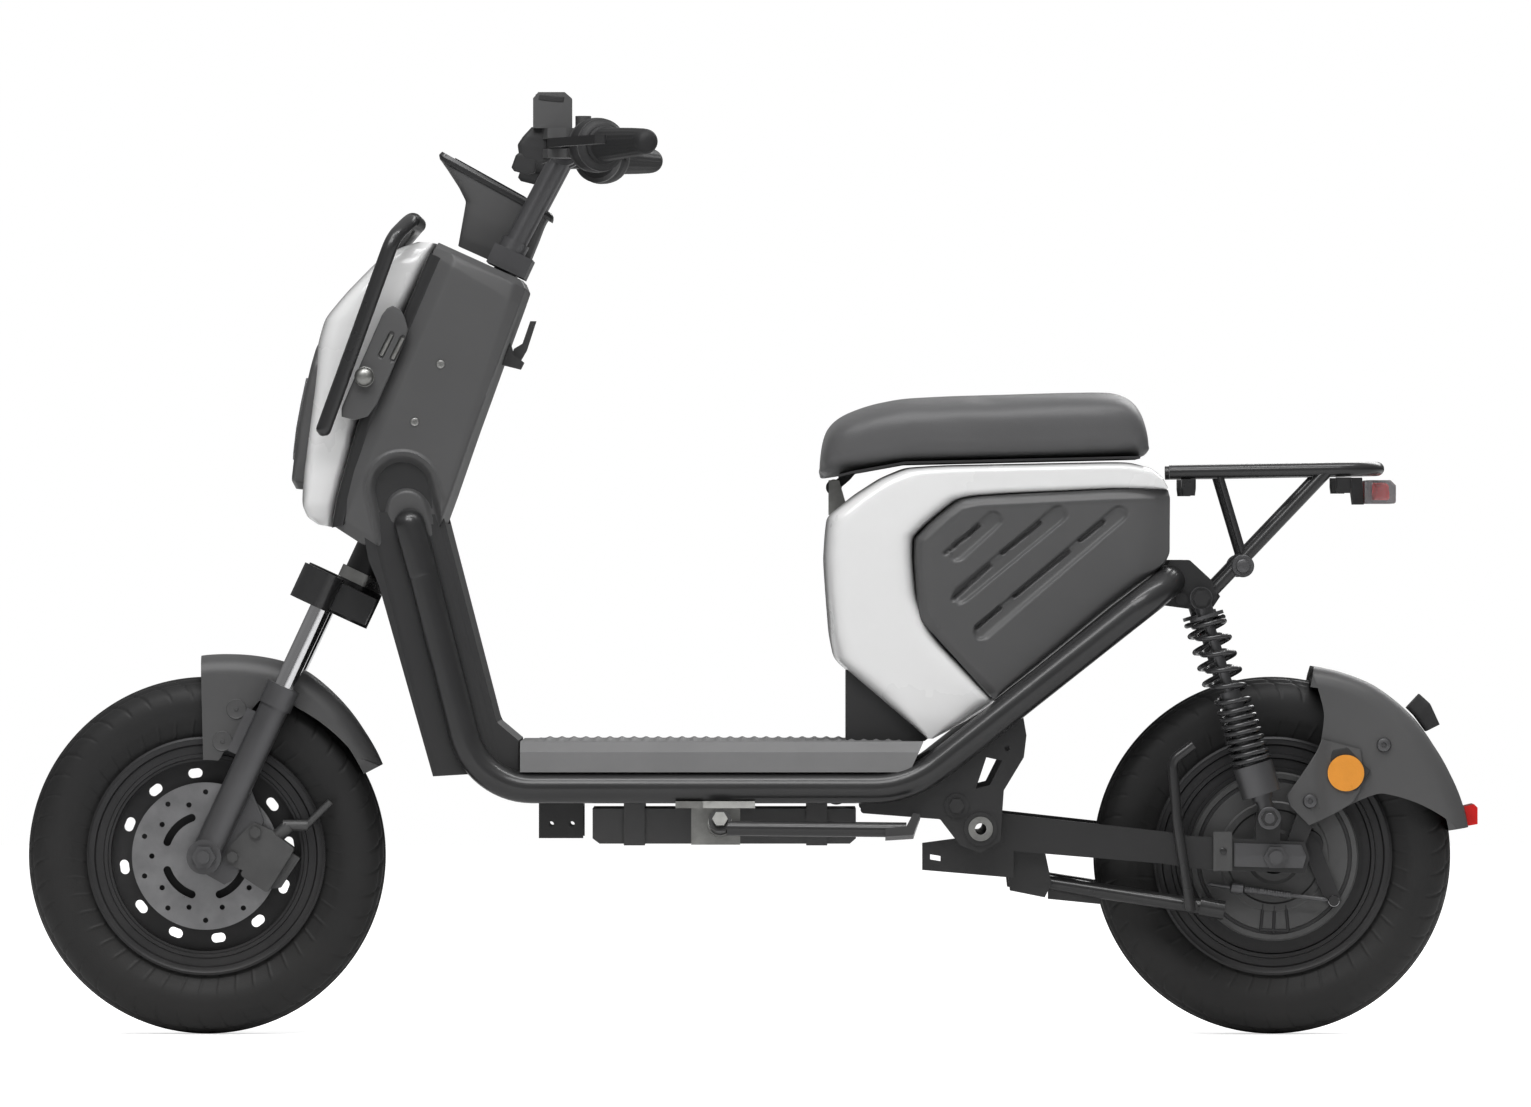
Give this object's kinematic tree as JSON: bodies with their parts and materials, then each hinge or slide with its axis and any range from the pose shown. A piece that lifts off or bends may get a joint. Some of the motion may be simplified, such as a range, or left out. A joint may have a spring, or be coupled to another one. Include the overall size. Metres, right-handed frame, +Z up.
{
  "type": "electric moped scooter",
  "caption": "Step-through electric moped with telescopic fork, floorboard, padded lift-up seat, tubular guard, hub motor, twin rear shocks, rack, centre stand and side stand.",
  "frame": {"origin": "on the ground in the middle of the overall box", "axes": "+X rearwards, +Y to the rider's right, +Z up"},
  "size_m": [1.674, 0.7082, 1.0815],
  "materials": {
    "tyre": "moulded rubber with a dull sheen",
    "cast_dark": "dark satin cast alloy",
    "steel": "machined steel",
    "zinc": "zinc-plated, satin",
    "fork_grey": "satin grey paint on cast alloy",
    "chrome": "polished",
    "caliper_grey": "bead-blasted",
    "frame_black": "gloss black paint on steel tube",
    "dark_plastic": "satin moulded plastic",
    "soft_plastic": "fine-grained matt plastic",
    "white_plastic": "glossy moulded plastic",
    "vinyl": "smooth satin vinyl over foam",
    "rubber": "matt rubber",
    "clear_lens": "clear moulded lens",
    "red_lens": "translucent red lens",
    "amber_lens": "amber prismatic lens",
    "spring_black": "gloss black coating on spring steel",
    "cell_case": "shrink-wrapped cell block"
  },
  "bodies": {
    "frame": {"frame_rails": "frame_black", "cross_tubes": "frame_black", "steering_head": "frame_black", "steering_bearings": "steel", "frame_plates": "frame_black", "swing_pivot_tube": "zinc", "leg_shield": "dark_plastic", "front_shell": "white_plastic", "headlight": "clear_lens", "front_guard": "frame_black", "guard_plates": "dark_plastic", "leg_fairing": "dark_plastic", "floorboard": "soft_plastic", "controller_box": "dark_plastic", "side_stand_bracket": "zinc", "bag_hook": "dark_plastic", "body_shell": "white_plastic", "side_panels": "dark_plastic", "battery_case": "soft_plastic", "battery_pack": "cell_case", "seat_hinge": "zinc", "rear_rack": "frame_black", "tail_light": "clear_lens"},
    "seat": {"seat_cushion": "vinyl", "seat_pan": "soft_plastic"},
    "steering": {"fork_crown": "frame_black", "fork_stanchions": "chrome", "handlebar_stem": "fork_grey", "handlebar": "frame_black", "display_housing": "dark_plastic", "left_perch": "dark_plastic", "right_perch": "dark_plastic", "left_grip": "rubber"},
    "throttle": {"throttle_grip": "rubber"},
    "left_lever": {"brake_lever_left": "frame_black"},
    "right_lever": {"brake_lever_right": "frame_black"},
    "horn": {"horn_button": "soft_plastic"},
    "light": {"light_button": "soft_plastic"},
    "fork_lowers": {"fork_sliders": "fork_grey", "front_axle": "zinc", "front_fender": "dark_plastic", "brake_caliper": "caliper_grey"},
    "front_wheel": {"front_tyre": "tyre", "front_rim": "cast_dark", "front_bearings": "steel", "brake_disc": "steel"},
    "swing": {"swingarm": "frame_black", "brake_plate": "caliper_grey", "rear_axle": "zinc", "rear_fender": "dark_plastic", "side_reflectors": "amber_lens", "rear_reflector": "red_lens"},
    "rear_wheel": {"rear_tyre": "tyre", "hub_motor": "cast_dark"},
    "brake_cam": {"brake_arm": "zinc"},
    "shock_upper": {"shock_rods": "fork_grey", "shock_springs": "spring_black"},
    "shock_lower": {"shock_bodies": "fork_grey"},
    "stand": {"centre_stand": "frame_black"},
    "prop": {"side_stand": "frame_black"}
  },
  "joints": [
    {"name": "steer", "type": "hinge", "parent": "frame", "child": "steering", "pos_m": [-0.60512, 0, 0.19467], "axis": [0.4226, 0, 0.9063], "range_deg": [-40, 40]},
    {"name": "fork_slide", "type": "slide", "parent": "steering", "child": "fork_lowers", "axis": [0.4226, 0, 0.9063], "range_m": [0, 0.06], "stiffness_N_per_m": 8000, "springref_m": -0.06},
    {"name": "front_spin", "type": "hinge", "parent": "fork_lowers", "child": "front_wheel", "pos_m": [-0.6305, 0, 0.2065], "axis": [0, 1, 0], "continuous": true},
    {"name": "swing", "type": "hinge", "parent": "frame", "child": "swing", "pos_m": [0.2614, 0, 0.24], "axis": [0, -1, 0], "range_deg": [0, 8], "stiffness_Nm_per_rad": 1500, "springref_deg": -11.46},
    {"name": "rear_spin", "type": "hinge", "parent": "swing", "child": "rear_wheel", "pos_m": [0.6005, 0, 0.2065], "axis": [0, 1, 0], "continuous": true},
    {"name": "brake_cam", "type": "hinge", "parent": "swing", "child": "brake_cam", "pos_m": [0.6408, 0, 0.221], "axis": [0, 1, 0], "range_deg": [0, 12]},
    {"name": "shock_tilt", "type": "hinge", "parent": "frame", "child": "shock_upper", "pos_m": [0.5146, 0, 0.5043], "axis": [0, -1, 0], "range_deg": [0, 2.5]},
    {"name": "shock_slide", "type": "slide", "parent": "shock_upper", "child": "shock_lower", "axis": [-0.2954, 0, 0.9554], "range_m": [0, 0.046], "deforming": ["shock_springs"]},
    {"name": "centre_stand", "type": "hinge", "parent": "swing", "child": "stand", "pos_m": [0.3193, 0, 0.1798], "axis": [0, 1, 0], "range_deg": [0, 95], "stiffness_Nm_per_rad": 4, "springref_deg": -34.38},
    {"name": "side_stand", "type": "hinge", "parent": "frame", "child": "prop", "pos_m": [-0.037, -0.15, 0.2448], "axis": [0, 0.9659, -0.2588], "range_deg": [0, 105], "stiffness_Nm_per_rad": 1.5, "springref_deg": -34.38},
    {"name": "seat_lift", "type": "hinge", "parent": "frame", "child": "seat", "pos_m": [0.094, 0, 0.632], "axis": [0, -1, 0], "range_deg": [0, 60]},
    {"name": "lever_left", "type": "hinge", "parent": "steering", "child": "left_lever", "pos_m": [-0.22625, -0.19199, 1.0225], "axis": [0, 0, 1], "range_deg": [0, 8.5], "stiffness_Nm_per_rad": 3, "springref_deg": -8.59},
    {"name": "lever_right", "type": "hinge", "parent": "steering", "child": "right_lever", "pos_m": [-0.22625, 0.19199, 1.0225], "axis": [0, 0, -1], "range_deg": [0, 8.5], "stiffness_Nm_per_rad": 3, "springref_deg": -8.59},
    {"name": "throttle", "type": "hinge", "parent": "steering", "child": "throttle", "pos_m": [-0.216, 0.12, 1.0205], "axis": [0.3972, 0.9178, 0], "range_deg": [0, 70], "stiffness_Nm_per_rad": 0.15, "springref_deg": -22.92},
    {"name": "horn_press", "type": "slide", "parent": "steering", "child": "horn", "axis": [-0.9178, -0.3972, 0], "range_m": [0, 0.0015], "stiffness_N_per_m": 400, "springref_m": -0.002},
    {"name": "light_press", "type": "slide", "parent": "steering", "child": "light", "axis": [-0.9178, 0.3972, 0], "range_m": [0, 0.0015], "stiffness_N_per_m": 400, "springref_m": -0.002}
  ],
  "couplings": [
    {"joint": "shock_tilt", "follows": "swing", "ratio": 0.291},
    {"joint": "shock_slide", "follows": "swing", "m_per_rad": 0.3237},
    {"joint": "brake_cam", "follows": "lever_left", "ratio": 1.2}
  ]
}
